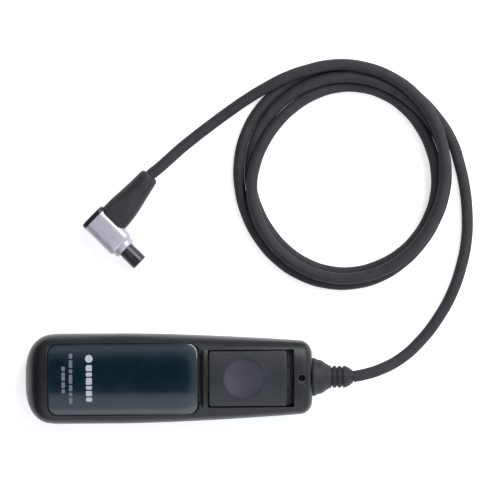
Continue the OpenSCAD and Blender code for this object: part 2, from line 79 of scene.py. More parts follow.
class Nodes:
    """Short hand for building one material's node tree. Textures use object coordinates, in metres."""

    def __init__(self, name):
        self.material = bpy.data.materials.new(name)
        self.material.use_nodes = True
        self.tree = self.material.node_tree
        self.shader = self.tree.nodes["Principled BSDF"]
        self.place = self.add("ShaderNodeTexCoord").outputs["Object"]

    def add(self, kind, inputs=(), **settings):
        node = self.tree.nodes.new(kind)
        for key, value in settings.items():
            setattr(node, key, value)
        for key, value in dict(inputs).items():
            self.feed(node.inputs[key], value)
        return node

    def feed(self, socket, value):
        if isinstance(value, bpy.types.NodeSocket):
            self.tree.links.new(value, socket)
        elif isinstance(value, (tuple, list)) and len(value) == 3 and len(socket.default_value) == 4:
            socket.default_value = (*value, 1)
        else:
            socket.default_value = value

    def set(self, **values):
        for key, value in values.items():
            self.feed(self.shader.inputs[key.replace("_", " ")], value)

    def stretched(self, scale):
        return self.add("ShaderNodeMapping", {"Vector": self.place, "Scale": scale}).outputs["Vector"]

    def noise(self, size, detail, roughness, vector=None):
        """Noise whose features are about size millimetres across."""
        inputs = {
            "Vector": vector or self.place, "Scale": 1 / (size * MM),
            "Detail": detail, "Roughness": roughness,
        }
        return self.add("ShaderNodeTexNoise", inputs).outputs["Fac"]

    def ramp(self, value, low, high, start=0.3, stop=0.7):
        """Colour or number that goes from low to high as value goes from start to stop."""
        node = self.add("ShaderNodeValToRGB", {"Fac": value})
        for element, position, colour in zip(node.color_ramp.elements, (start, stop), (low, high)):
            element.position = position
            element.color = (*colour, 1) if isinstance(colour, tuple) else (colour, colour, colour, 1)
        return node.outputs["Color"]

    def bump(self, height, depth, normal=None):
        """Bump of the given depth in millimetres."""
        inputs = {"Height": height, "Distance": depth * MM, "Strength": 1.0}
        if normal is not None:
            inputs["Normal"] = normal
        return self.add("ShaderNodeBump", inputs).outputs["Normal"]

    def add_up(self, a, b, share):
        """Mixture of a and b, with the given share of b."""
        return self.add(
            "ShaderNodeMix", {"Factor": share, "A": a, "B": b}, data_type="FLOAT"
        ).outputs["Result"]


def shade(colour, factor):
    return tuple(min(1, c * factor) for c in colour)


def moulded(name, colour, grain=0.25, depth=0.012, rough=(0.42, 0.54), specular=0.5):
    """Moulded plastic: spark-eroded grain, faint flow marks and handling polish."""
    m = Nodes(name)
    fine = m.noise(grain, 4, 0.6)
    broad = m.noise(9, 3, 0.5)
    dust = m.noise(0.12, 2, 0.7)
    m.set(
        Base_Color=m.ramp(m.add_up(broad, fine, 0.35), shade(colour, 0.82), shade(colour, 1.25)),
        Roughness=m.ramp(broad, *rough),
        Specular_IOR_Level=specular,
        Normal=m.bump(dust, depth * 0.3, m.bump(fine, depth)),
    )
    return m.material


def gloss_plate(name, colour):
    """Polished black plastic with hairline scratches, and soft smears where thumbs have been."""
    m = Nodes(name)
    hairs = m.noise(0.3, 2, 0.5, m.stretched((0.05, 1, 1)))
    smears = m.noise(7, 4, 0.6)
    m.set(
        Base_Color=m.ramp(smears, shade(colour, 0.9), shade(colour, 1.3)),
        Roughness=m.ramp(m.add_up(smears, hairs, 0.3), 0.12, 0.22, 0.35, 0.7),
        Coat_Weight=0.6,
        Coat_Roughness=0.06,
        Normal=m.bump(hairs, 0.0008),
    )
    return m.material


def rubber(name, colour, rough=(0.5, 0.66), depth=0.01, specular=0.35):
    """Soft vinyl or rubber: even satin skin, faint orange peel and a little bloom."""
    m = Nodes(name)
    peel = m.noise(0.35, 3, 0.5)
    bloom = m.noise(5, 4, 0.65)
    m.set(
        Base_Color=m.ramp(bloom, shade(colour, 0.85), shade(colour, 1.3)),
        Roughness=m.ramp(bloom, *rough),
        Specular_IOR_Level=specular,
        Sheen_Weight=0.04,
        Sheen_Roughness=0.4,
        Normal=m.bump(m.noise(0.1, 2, 0.6), depth * 0.3, m.bump(peel, depth)),
    )
    return m.material


def metal(name, colour, rough, along=(0.06, 1, 1), share=1.0):
    """Metal with brush lines along one direction, and patches that are a little duller.

    A share under 1 gives a pearly plated finish."""
    m = Nodes(name)
    lines = m.noise(0.12, 3, 0.6, m.stretched(along))
    patches = m.noise(3, 4, 0.6)
    m.set(
        Base_Color=m.ramp(patches, shade(colour, 0.9), colour),
        Metallic=share,
        Roughness=m.ramp(m.add_up(lines, patches, 0.4), *rough),
        Normal=m.bump(lines, 0.002),
    )
    return m.material


def phenolic(name, colour):
    """Laminated board: paper fibres and mottling."""
    m = Nodes(name)
    fibres = m.noise(0.4, 4, 0.7, m.stretched((0.2, 1, 3)))
    m.set(
        Base_Color=m.ramp(fibres, shade(colour, 0.7), shade(colour, 1.2)),
        Roughness=m.ramp(fibres, 0.45, 0.65),
        Normal=m.bump(fibres, 0.006),
    )
    return m.material


def button_plastic(name, colour, painted_dish_reflection):
    """Moulded plastic whose thumb dish is painted paler than the rest: a painted reflection of the light its
    hollow catches.
    """
    m = Nodes(name)
    fine = m.noise(0.2, 4, 0.6)
    broad = m.noise(9, 3, 0.5)
    centred = m.add(
        "ShaderNodeVectorMath", {0: m.place, 1: (-DIMPLE_X * MM, 0, 0)}, operation="ADD"
    ).outputs["Vector"]
    flat = m.add(
        "ShaderNodeVectorMath", {0: centred, 1: (1, 1, 0)}, operation="MULTIPLY"
    ).outputs["Vector"]
    reach = m.add("ShaderNodeVectorMath", {0: flat}, operation="LENGTH").outputs["Value"]
    inside = m.add("ShaderNodeMapRange", {
        "Value": reach, "From Min": (DIMPLE_R - 0.9) * MM, "From Max": (DIMPLE_R + 0.1) * MM,
        "To Min": 1.0, "To Max": 0.0,
    }, interpolation_type="SMOOTHSTEP").outputs["Result"]
    # The dish mask blends in the paler colour. This is painted reflection, not the plastic's own tone.
    tone = m.ramp(inside, colour, painted_dish_reflection, 0.0, 1.0)
    worn = m.ramp(m.add_up(broad, fine, 0.35), 0.8, 1.2)
    m.set(
        Base_Color=m.add(
            "ShaderNodeVectorMath", {0: tone, 1: worn}, operation="MULTIPLY"
        ).outputs["Vector"],
        Roughness=m.ramp(broad, 0.34, 0.44),
        Normal=m.bump(fine, 0.008),
    )
    return m.material


def ink(name, colour):
    """Pad-printed ink: slightly patchy, with a soft tooth."""
    m = Nodes(name)
    grain = m.noise(0.15, 3, 0.7)
    m.set(
        Base_Color=m.ramp(grain, shade(colour, 0.75), colour),
        Roughness=m.ramp(grain, 0.4, 0.6),
        Normal=m.bump(grain, 0.003),
    )
    return m.material


DIMPLE_X = 23.5
DIMPLE_R = 6.4
# The second colour is the thumb dish's painted reflection.
BUTTON = button_plastic("button plastic", (0.021, 0.024, 0.029), (0.045, 0.044, 0.06))
CASE = moulded("case plastic", (0.009, 0.0108, 0.0115), rough=(0.32, 0.42), specular=0.45)
CARRIER = moulded("carrier plastic", (0.018, 0.018, 0.02), depth=0.006)
PLUG_SKIN = {"grain": 0.12, "depth": 0.004, "rough": (0.28, 0.4)}
BARREL_BLACK = moulded("barrel plastic", (0.033, 0.033, 0.036), **PLUG_SKIN)
CAP_BLACK = moulded("end cap plastic", (0.016, 0.016, 0.0175), specular=0.35, **PLUG_SKIN)
PLATE = gloss_plate("plate gloss", (0.003, 0.012, 0.018))
MARKS = ink("plate ink", (0.56, 0.58, 0.6))
FINE_MARKS = ink("plate ink fine", (0.17, 0.185, 0.2))
CORD = rubber("cord vinyl", (0.037, 0.037, 0.04), rough=(0.6, 0.74), depth=0.006, specular=0.2)
BOOT = rubber("boot rubber", (0.0235, 0.0235, 0.0255))
SLEEVE = metal("sleeve metal", (0.58, 0.54, 0.6), rough=(0.4, 0.5), along=(1, 0.08, 1), share=0.45)
SCREW = metal("screw steel", (0.5, 0.5, 0.52), rough=(0.3, 0.45))
SCREW_BLACK = metal("screw black", (0.02, 0.02, 0.022), rough=(0.35, 0.5))
SPRING = metal("spring steel", (0.62, 0.62, 0.64), rough=(0.18, 0.3))
BRONZE = metal("contact bronze", (0.75, 0.5, 0.24), rough=(0.25, 0.38))
GOLD = metal("contact gold", (0.95, 0.7, 0.3), rough=(0.15, 0.25))
BOARD = phenolic("insulator board", (0.3, 0.17, 0.07))
WIRES = {
    "common_wire": rubber("wire white", (0.7, 0.7, 0.66)),
    "focus_wire": rubber("wire red", (0.4, 0.02, 0.015)),
    "release_wire": rubber("wire black", (0.02, 0.02, 0.02)),
}

# ---- The cord ---------------------------------------------------------------------------
CORD_D = 3.6
LEAD = [
    (58, 0, 8), (62, 0.75, 7.7), (66.2, 2, 6.9), (73, 5.3, 4.8), (79.6, 10.9, 2.9),
    (85.7, 18.6, 1.9), (90, 26.4, 1.8), (92.8, 34.4, 1.8), (94.5, 42.6, 1.8),
    (94.8, 50.8, 1.8), (94.1, 59, 1.8), (92.5, 66.8, 1.8), (90, 74.4, 1.8),
]
TAIL = [
    (43.2, 96.5, 5.3), (37.2, 94.4, 5), (31.8, 91.7, 4.2), (25.7, 88.2, 2.9),
    (19.3, 83.9, 2), (12.3, 78.8, 1.8), (8.1, 75.6, 1.9), (3.9, 72.2, 2.4),
    (-0.3, 68.4, 3.5), (-3, 66, 4.2), (-5.56, 63.94, 4.4), (-7.5, 61.64, 4.4),
]
COIL_CENTRE = (56.2, 62.2)
STEPS_PER_TURN = 24
WHOLE_TURNS = 3
# Radii that the innermost and outermost strands keep, every 30 degrees round the coil.
INNER = [29.1, 29, 30.2, 30, 28.2, 28.1, 29.3, 28.5, 29.3, 29.9, 29.9, 28.7]
OUTER = [32, 34.4, 34.4, 35.4, 35.3, 34.9, 33.2, 32.8, 33.5, 33.6, 31.3, 30.6]
# How the cord winds inwards and out again: (turns made, way from inner to outer strand, height).
WINDING = [
    (0, 1, 1.8), (0.9, 1, 1.8), (1.06, 0.5, 4.7), (1.2, 0.5, 4.7), (1.3, 0.5, 2.4), (1.38, 0.45, 1.8),
    (1.52, 0, 1.8), (1.74, 0, 1.8), (1.78, 0, 5), (1.96, 0, 5), (2.04, 0, 1.8), (2.32, 0, 1.8),
    (2.4, 0, 4.6), (2.5, 0.42, 4.7), (2.74, 0.5, 4.8), (2.8, 0.55, 8.2), (2.96, 0.55, 8.2),
    (3.04, 0.8, 7.4), (3.12, 1.15, 6.8), (3.21, 1.2, 5.4),
]


def coil_turns():
    """Points of the wound cord. Each step evens it out and pushes turns that touch apart."""
    first, last = (
        math.degrees(math.atan2(p[1] - COIL_CENTRE[1], p[0] - COIL_CENTRE[0])) for p in (LEAD[-1], TAIL[0])
    )
    step = 360 / STEPS_PER_TURN
    angle = np.arange(first + step, last + 360 * WHOLE_TURNS - step, step)
    turns, share, rise = (np.array(column) for column in zip(*WINDING))
    made = (angle - first) / 360
    edges = np.arange(len(INNER) + 1) * 360 / len(INNER)
    near, far = (np.interp(angle % 360, edges, table + table[:1]) for table in (INNER, OUTER))
    radius = near + np.interp(made, turns, share) * (far - near)
    height = np.interp(made, turns, rise)
    held_radius, held_height = radius.copy(), height.copy()
    start_r, end_r = (math.dist(p[:2], COIL_CENTRE) for p in (LEAD[-1], TAIL[0]))
    for _ in range(900):
        around = np.concatenate([[start_r], radius, [end_r]])
        radius += 0.2 * ((around[:-2] + around[2:]) / 2 - radius) + 0.1 * (held_radius - radius)
        around = np.concatenate([[LEAD[-1][2]], height, [TAIL[0][2]]])
        height += 0.2 * ((around[:-2] + around[2:]) / 2 - height) + 0.06 * (held_height - height)
        for apart in range(STEPS_PER_TURN, len(angle), STEPS_PER_TURN):
            out = radius[apart:] - radius[:-apart]
            up = height[apart:] - height[:-apart]
            distance = np.maximum(np.hypot(out, up), 1e-6)
            push = np.clip(CORD_D + 0.04 - distance, 0, None) / 2 / distance
            radius[apart:] += out * push
            radius[:-apart] -= out * push
            height[apart:] += up * push
            height[:-apart] -= up * push
        height = np.maximum(height, CORD_D / 2)
    turned = np.radians(angle)
    x = COIL_CENTRE[0] + radius * np.cos(turned)
    y = COIL_CENTRE[1] + radius * np.sin(turned)
    return list(zip(x, y, height))


def make_cord():
    route = LEAD + coil_turns() + TAIL
    curve = bpy.data.curves.new("cord", "CURVE")
    curve.dimensions = "3D"
    curve.resolution_u = 8
    curve.bevel_depth = CORD_D / 2 * MM
    curve.bevel_resolution = 8
    curve.use_fill_caps = True
    spline = curve.splines.new("BEZIER")
    spline.bezier_points.add(len(route) - 1)
    for point, place in zip(spline.bezier_points, route):
        point.co = Vector(place) * MM
        point.handle_left_type = point.handle_right_type = "AUTO"
    obj = bpy.data.objects.new("cord", curve)
    scene.collection.objects.link(obj)
    curve.materials.append(CORD)
    length = spline.calc_length(resolution=16)
    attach(obj, "handset")
    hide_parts("cord_lead", "cord_coil", "cord_tail")
    return obj, length


cord, cord_length = make_cord()

# ---- Mesh helpers -----------------------------------------------------------------------


def new_object(name, verts, faces):
    """Closed mesh from points in millimetres."""
    mesh = bpy.data.meshes.new(name)
    mesh.from_pydata([tuple(Vector(v) * MM) for v in verts], [], faces)
    obj = bpy.data.objects.new(name, mesh)
    scene.collection.objects.link(obj)
    tidy(obj)
    return obj


def tidy(obj, flat=0.0):
    """Joins doubled points, drops crumbs and turns every face outwards.

    If flat is given, it also merges faces that lie within that many degrees of each other."""
    bm = bmesh.new()
    bm.from_mesh(obj.data)
    bmesh.ops.remove_doubles(bm, verts=bm.verts, dist=2e-6)
    bmesh.ops.dissolve_degenerate(bm, dist=1e-6, edges=bm.edges)
    if flat:
        bmesh.ops.dissolve_limit(bm, angle_limit=math.radians(flat), verts=bm.verts, edges=bm.edges)
    bmesh.ops.recalc_face_normals(bm, faces=bm.faces)
    bm.to_mesh(obj.data)
    bm.free()


def apply_modifiers(obj):
    """Puts what the modifiers make into the mesh itself."""
    depsgraph = bpy.context.evaluated_depsgraph_get()
    mesh = bpy.data.meshes.new_from_object(obj.evaluated_get(depsgraph))
    obj.modifiers.clear()
    obj.data = mesh


def combine(obj, operation, *tools):
    """Cuts obj with the tools, or joins it to them, one after another. The tools are used up."""
    for tool in tools:
        cut = obj.modifiers.new("cut", "BOOLEAN")
        cut.operation = operation
        cut.solver = "EXACT"
        cut.object = tool
        apply_modifiers(obj)
        bpy.data.objects.remove(tool)
    return obj


def join(name, *objs):
    """One object of several closed shells."""
    bm = bmesh.new()
    for obj in objs:
        bm.from_mesh(obj.data)
        bpy.data.objects.remove(obj)
    mesh = bpy.data.meshes.new(name)
    bm.to_mesh(mesh)
    bm.free()
    obj = bpy.data.objects.new(name, mesh)
    scene.collection.objects.link(obj)
    return obj


def loft(name, rings, last_face=True):
    """Closed solid through rings of equally many points. It needs no last face if the last ring is a line."""
    count = len(rings[0])
    verts = [point for ring in rings for point in ring]
    faces = [tuple(range(count))]
    for k in range(len(rings) - 1):
        for i in range(count):
            a, b = k * count + i, k * count + (i + 1) % count
            faces.append((a, b, b + count, a + count))
    if last_face:
        faces.append(tuple(range(len(verts) - count, len(verts))))
    return new_object(name, verts, faces)


def block(x0, x1, y0, y1, z0, z1):
    return loft("block", [[(x, y0, z0), (x, y1, z0), (x, y1, z1), (x, y0, z1)] for x in (x0, x1)])


def lathe(name, profile, steps=64):
    """Solid turned round the X axis from (x, radius) points. The ends close on the axis."""
    rings = []
    for x, radius in profile:
        angles = [2 * math.pi * i / steps for i in range(steps)]
        rings.append([(x, radius * math.cos(a), radius * math.sin(a)) for a in angles])
    return loft(name, rings)


def rod(x, y, radius, z0, z1):
    """Upright cylinder."""
    obj = lathe("rod", [(z0, radius), (z1, radius)], 48)
    obj.data.transform(Matrix.Translation(Vector((x, y, 0)) * MM) @ Matrix.Rotation(-math.pi / 2, 4, "Y"))
    return obj


def rounded_outline(half_a, half_b, radius, per_corner):
    """Points of a rectangle with round corners, the same number whatever its size."""
    radius = max(min(radius, half_a, half_b), 1e-3)
    points = []
    for quarter, (sa, sb) in enumerate([(1, 1), (-1, 1), (-1, -1), (1, -1)]):
        for i in range(per_corner + 1):
            turn = math.radians(90 * (quarter + i / per_corner))
            points.append((
                sa * (half_a - radius) + radius * math.cos(turn),
                sb * (half_b - radius) + radius * math.sin(turn),
            ))
    return points


def fill_straights(points, spacing):
    """Adds points along the long sides of an outline, so that a curved top follows its surface."""
    out = []
    for (ax, ay), (bx, by), extra in zip(points, points[1:] + points[:1], spacing):
        for i in range(extra):
            out.append((ax + (bx - ax) * i / extra, ay + (by - ay) * i / extra))
    return out


def cap_solid(name, middle, half_x, half_y, radius, levels, side_x=24, side_y=16, last_face=True):
    """Solid whose level rings are one rounded rectangle, inset by each level's first value.

    The second value of a level is a height, or a function of (x, y) that gives it."""
    rings = []
    corner = 10
    spacing = ([1] * corner + [side_x] + [1] * corner + [side_y]) * 2
    for inset, height in levels:
        outline = rounded_outline(half_x - inset, half_y - inset, radius - inset, corner)
        ring = []
        for dx, dy in fill_straights(outline, spacing):
            x, y = middle + dx, dy
            ring.append((x, y, height(x, y) if callable(height) else height))
        rings.append(ring)
    return loft(name, rings, last_face)


def soften(obj, width, angle, segments):
    """Rounds the edges that are sharper than the angle, by width millimetres."""
    bevel = obj.modifiers.new("edges", "BEVEL")
    bevel.width = width * MM
    bevel.segments = segments
    bevel.limit_method = "ANGLE"
    bevel.angle_limit = math.radians(angle)
    bevel.use_clamp_overlap = False
    bevel.harden_normals = False
    apply_modifiers(obj)


def smooth(obj, angle):
    """Smooth shading, except at edges sharper than the angle."""
    for polygon in obj.data.polygons:
        polygon.use_smooth = True
    obj.data.set_sharp_from_angle(angle=math.radians(angle))


def finish_piece(obj, name, body, slot, material, *nodes, angle=32):
    """Names a piece, dresses it, ties it to its body, if any, and hides the CAD nodes it stands for. Its slot
    is not used.
    """
    obj.name = name
    obj.data.name = name
    obj.data.materials.clear()
    obj.data.materials.append(material)
    smooth(obj, angle)
    if body:
        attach(obj, body)
    if nodes:
        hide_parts(*nodes)
    return obj


def node_copy(node, name):
    obj = bpy.data.objects.new(name, NODES[node].data.copy())
    scene.collection.objects.link(obj)
    return obj


def refined(node, name, body, slot, material, edge):
    """Copy of a CAD node whose flat faces are whole and whose edges are slightly round."""
    obj = node_copy(node, name)
    mesh = obj.data
    if "custom_normal" in mesh.attributes:
        mesh.attributes.remove(mesh.attributes["custom_normal"])
    tidy(obj, flat=0.6)
    soften(obj, edge, 40, 2)
    return finish_piece(obj, name, body, slot, material, node)


def flexing(node, name, slot, material, moving, start, end):
    """Copy of a CAD spring or blade, dressed and left as it stands, tied to no body. Its moving body, start
    and end are not used.
    """
    obj = node_copy(node, name)
    finish_piece(obj, name, None, slot, material, node)
    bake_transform(obj)
    return obj


# ---- The handset's shells ---------------------------------------------------------------
SEAM = 8
TOP = 17
WALL = 1.6
HALF_L = 45
HALF_W = 14.1
SIDE_TAPER = 2.8
END_WALL = 42.6             # inner side of the wall at the cord end
CROWN_POWER = 4             # how squared-off the cross-sections are
CROWN_R = 52                # radius of the crowned plate, button and ridge, across the handset
NOSE_L = 10                 # stretch over which the sides close at the far end
BROW_L = 6                  # and the top and bottom
CORNER_R = 3.7              # corners at the cord end, seen from above
EDGE_R = 3                  # and seen from the side
EDGE_WIDTH = 0.14           # rounding of the shells' edges


def side_at(x):
    """Half width before the ends are rounded."""
    return HALF_W - SIDE_TAPER * (max(0, x + 15) / 60) ** 1.55


def crown_at(x):
    """Height of the top over the seam, along the middle."""
    return TOP - SEAM - 1.6 * (max(0, x - 20) / 25) ** 2


def round_end(distance, length, power):
    """Factor that goes from 1 to 0 along an end of the given length, rounder for a higher power."""
    if distance <= 0:
        return 1
    return max(0, 1 - (min(distance, length) / length) ** power) ** (1 / power)


def corner_cut(distance, radius):
    """How much a round corner takes off, at a distance past its start."""
    return 0 if distance <= 0 else radius - math.sqrt(max(0, radius ** 2 - distance ** 2))


def outer_at(x):
    """Half width, height over the seam and depth under it."""
    nose = round_end(NOSE_L - HALF_L - x, NOSE_L, 2.5)
    brow = round_end(BROW_L - HALF_L - x, BROW_L, 2.2)
    edge = corner_cut(x - HALF_L + EDGE_R, EDGE_R)
    return (
        side_at(x) * nose - corner_cut(x - HALF_L + CORNER_R, CORNER_R),
        crown_at(x) * brow - edge,
        (SEAM + 0.3) * brow - edge,
    )


def inner_at(x):
    nose = round_end(NOSE_L - HALF_L + WALL - x, NOSE_L, 2.5)
    brow = round_end(BROW_L - HALF_L + WALL - x, BROW_L, 2.2)
    return (
        side_at(x) * nose - WALL - corner_cut(x - END_WALL + 2, 2) / 2,
        crown_at(x) * brow - WALL,
        (SEAM + 0.3) * brow - 0.3 - WALL,
    )


def half_oval(x, size, up, steps):
    """Arc of a squared-off oval above the seam (up = 1) or below it (up = -1)."""
    points = []
    for i in range(steps + 1):
        turn = math.pi * i / steps
        across = math.copysign(abs(math.cos(turn)) ** (2 / CROWN_POWER), math.cos(turn))
        rise = abs(math.sin(turn)) ** (2 / CROWN_POWER)
        height = size[1] if up > 0 else size[2]
        points.append((x, up * size[0] * across, max(0, SEAM + up * height * rise)))
    return points


def outer_half(up):
    nose = [-HALF_L + NOSE_L * (1 - math.sin(math.radians(a)) ** 0.8) for a in np.linspace(87, 12, 22)]
    middle = list(np.linspace(-35.5, 40.8, 58))
    front = [HALF_L - CORNER_R + CORNER_R * math.sin(math.radians(a)) for a in np.linspace(0, 90, 16)]
    return loft("outer", [half_oval(x, outer_at(x), up, 72) for x in nose + middle + front])


def inner_half(up):
    nose = [-HALF_L + WALL + NOSE_L * (1 - math.sin(math.radians(a)) ** 0.8) for a in (75, 62, 48, 33, 18)]
    over = SEAM - up * 0.5
    rings = []
    for x in nose + [-32, -20, -10, 2, 14, 24, 33, END_WALL - 2, END_WALL - 1, END_WALL]:
        size = inner_at(x)
        ends = [(x, -size[0] * up, over), (x, size[0] * up, over)]
        rings.append(half_oval(x, size, up, 24) + ends)
    return loft("inner", rings)


BUTTON_X = (12.6, 37.0)
BUTTON_HALF_Y = 8.75
BUTTON_SLOPE = 0.028
WELL_X = (12.4, 39.2)
WELL_Y = 8.95
WELL_Z = 12.65              # underside of the well's walls
PLATE_X = (-37.5, 9.4)
PLATE_Y = 11.1
PLATE_CORNER = 3
PLATE_PEAK = 17.15
PLATE_T = 0.8
SEAT_GAP = 0.1              # round the plate
RIDGE_X = (10.6, 12.1)
RIDGE_H = 0.5
TONGUE_Y = 3
SCREWS = [(x, side * y) for x, y in ((-34, 7), (7.5, 9)) for side in (1, -1)]
GLAND_SCREW_X = 41.7
GLAND_BORE_R = 3.65
POST_X = 24.5               # posts that guide the carrier and hold its springs
POST_Y = 7.6


def crown(peak, radius=CROWN_R, slope=0.0):
    """Height of a crowned surface as a function of x and y. A slope falls towards the cord."""
    return lambda x, y: peak - radius + math.sqrt(radius ** 2 - y ** 2) - slope * (x - BUTTON_X[0])


def under_plate(gap=0.0):
    """Crowned surface that the plate lies on, or one that is lower by the gap."""
    return crown(PLATE_PEAK - PLATE_T - gap, CROWN_R - PLATE_T)


def seat_cutter():
    middle = sum(PLATE_X) / 2
    half = (PLATE_X[1] - PLATE_X[0]) / 2 + SEAT_GAP
    levels = [(inset, under_plate()) for inset in (8, 5.5, 3.2, 1.6, 0.6, 0)] + [(0, 20)]
    return cap_solid("seat", middle, half, PLATE_Y + SEAT_GAP, PLATE_CORNER + SEAT_GAP, levels)


def ridge():
    """Low bar across the crown, rounded on top, that the thumb feels for."""
    middle, half = sum(RIDGE_X) / 2, (RIDGE_X[1] - RIDGE_X[0]) / 2
    across = [-math.cos(math.radians(a)) for a in np.linspace(6, 174, 19)]
    shape = [(middle + half * u, -0.9 * (1 - (1 - abs(u) ** 6) ** 0.5)) for u in across]
    top = crown(TOP + RIDGE_H)
    foot = 14
    rings = []
    for x, drop in shape:
        over = []
        for y in np.linspace(-PLATE_Y, PLATE_Y, 61):
            sunk = 0.95 * (abs(y) / PLATE_Y) ** 7       # so that the ends run out in the shell
            over.append((x, y, top(x, y) + drop - sunk))
        rings.append(over + [(x, PLATE_Y, foot), (x, -PLATE_Y, foot)])
    return loft("ridge", rings)


def groove_cutter():
    """Shadow groove between the plate and the ridge, which stops where the plate's corners start."""
    floor = under_plate(0.4)
    x0, x1 = PLATE_X[1] + 0.05, PLATE_X[1] + 0.8
    half_y, above = 7.7, 18
    rings = []
    for y in np.linspace(-half_y, half_y, 39):
        low = floor(x0, y)
        rings.append([(x0, y, low), (x1, y, low), (x1, y, above), (x0, y, above)])
    return loft("groove", rings)


def gland_bore():
    """Bore at the cord end, half in each shell."""
    bore = lathe("gland bore", [(END_WALL - 2, GLAND_BORE_R), (HALF_L + 1, GLAND_BORE_R)])
    bore.data.transform(Matrix.Translation((0, 0, SEAM * MM)))
    return bore


def well_walls(x0, x1):
    """Walls that hang round the button's well. They reach up into the shell."""
    side_t, step_x = 0.8, 34            # the roof is lower towards the cord
    walls = []
    for side in (1, -1):
        y0, y1 = sorted((side * WELL_Y, side * (WELL_Y + side_t)))
        walls.append(block(x0, step_x, y0, y1, WELL_Z, 15.1))
        walls.append(block(step_x - 0.1, x1, y0, y1, WELL_Z, 14.2))
    walls.append(block(x0, WELL_X[0], -WELL_Y - side_t, WELL_Y + side_t, WELL_Z, 15.8))
    walls.append(block(WELL_X[1], x1, -WELL_Y - 0.4, WELL_Y + 0.4, WELL_Z, 14.7))
    return walls


def upper_shell():
    shell = combine(outer_half(1), "DIFFERENCE", inner_half(1))
    wall_x0, wall_x1 = WELL_X[0] - 1, WELL_X[1] + 1
    slot_y, tooth_z = TONGUE_Y + 0.2, (11.85, 13.05)
    added = well_walls(wall_x0, wall_x1)
    added.append(block(WELL_X[1], wall_x1, -slot_y, slot_y, *tooth_z))
    added.append(rod(GLAND_SCREW_X, 0, 1.9, SEAM + 5.4, 14.7))
    for x, y in SCREWS:
        added.append(rod(x, y, 2.1, SEAM, 15.2 if x < 0 else 14))
    combine(shell, "UNION", *added)
    middle = sum(WELL_X) / 2
    opening = cap_solid(
        "opening", middle, (WELL_X[1] - WELL_X[0]) / 2, WELL_Y, 0.5, [(0, WELL_Z - 0.15), (0, 20)]
    )
    slot = block(WELL_X[1] - 0.05, wall_x1 + 0.05, -slot_y, slot_y, tooth_z[1], 14)
    gland_screw_hole = rod(GLAND_SCREW_X, 0, 1, SEAM + 5, 20)
    cuts = [opening, slot, seat_cutter(), groove_cutter(), gland_bore(), gland_screw_hole]
    cuts += [rod(x, y, 0.95, SEAM - 1, 13) for x, y in SCREWS]
    combine(shell, "DIFFERENCE", *cuts)
    tidy(shell)
    soften(shell, EDGE_WIDTH, 42, 2)
    combine(shell, "UNION", ridge())
    return finish_piece(shell, "upper_shell", "handset", "case_black", CASE, "upper_case")


def lower_shell():
    shell = combine(outer_half(-1), "DIFFERENCE", inner_half(-1))
    added = [rod(x, y, 2.4, 1, SEAM) for x, y in SCREWS]
    for side in (1, -1):
        added += [rod(POST_X, side * POST_Y, 2.3, 1, 4), rod(POST_X, side * POST_Y, 1.1, 2, 10.2)]
    combine(shell, "UNION", *added)
    cuts = [gland_bore()]
    for x, y in SCREWS:
        cuts += [rod(x, y, 1, -1, SEAM + 1), rod(x, y, 1.85, -1, 2.6)]
    combine(shell, "DIFFERENCE", *cuts)
    tidy(shell)
    soften(shell, EDGE_WIDTH, 42, 2)
    return finish_piece(shell, "lower_shell", "handset", "case_black", CASE, "lower_case")


# ---- Name plate and its printed marks ---------------------------------------------------


def rounded_edge(radius, height, steps=4):
    """Levels of a rounded top edge: inset from 0 to radius while the height comes up to the surface."""
    levels = []
    for i in range(steps + 1):
        turn = math.radians(90 * i / steps)
        drop = radius * (1 - math.sin(turn))
        levels.append((radius * (1 - math.cos(turn)), lambda x, y, d=drop: height(x, y) - d))
    return levels


def name_plate():
    middle = sum(PLATE_X) / 2
    half = (PLATE_X[1] - PLATE_X[0]) / 2
    under = under_plate()
    crowned = crown(PLATE_PEAK)

    def over(x, y):
        return crowned(x, y) - 0.02 * max(0, x - 4) ** 2       # rolls down towards the ridge

    insets = [10.6, 9.5, 8, 6.5, 5, 3.6, 2.4, 1.4, 0.7]
    levels = [(inset, under) for inset in insets] + [(0, under)]
    levels += rounded_edge(0.3, over) + [(inset, over) for inset in reversed(insets)]
    plate = cap_solid("name_plate_gloss", middle, half, PLATE_Y, PLATE_CORNER, levels)
    return finish_piece(plate, "name_plate_gloss", "handset", "plate_gloss", PLATE, "name_plate")


def printed_dash(x, y0, y1, width, corner):
    """Thin film of ink on the plate: a round-cornered dash from y0 to y1 that follows the crown."""
    over = crown(PLATE_PEAK)
    sunk, proud = 0.05, 0.03
    ends = [corner * (1 - math.cos(math.radians(a))) for a in (5, 30, 60, 90)]
    inside = list(np.linspace(corner, y1 - y0 - corner, max(2, int((y1 - y0) / 0.25))))
    rings = []
    for along in ends[:-1] + inside + [y1 - y0 - e for e in reversed(ends[:-1])]:
        from_end = min(along, y1 - y0 - along, corner)
        half = width / 2 - corner + math.sqrt(corner ** 2 - (corner - from_end) ** 2)
        y = y0 + along
        low, high = over(x, y) - sunk, over(x, y) + proud
        rings.append([(x - half, y, low), (x + half, y, low), (x + half, y, high), (x - half, y, high)])
    return loft("mark", rings)


def dash_row(x, top, lengths, gap, width, corner):
    """Dashes of the given lengths, one after another from y = top downwards."""
    dashes = []
    for length in lengths:
        dashes.append(printed_dash(x, top - length, top, width, corner))
        top -= length + gap
    return dashes


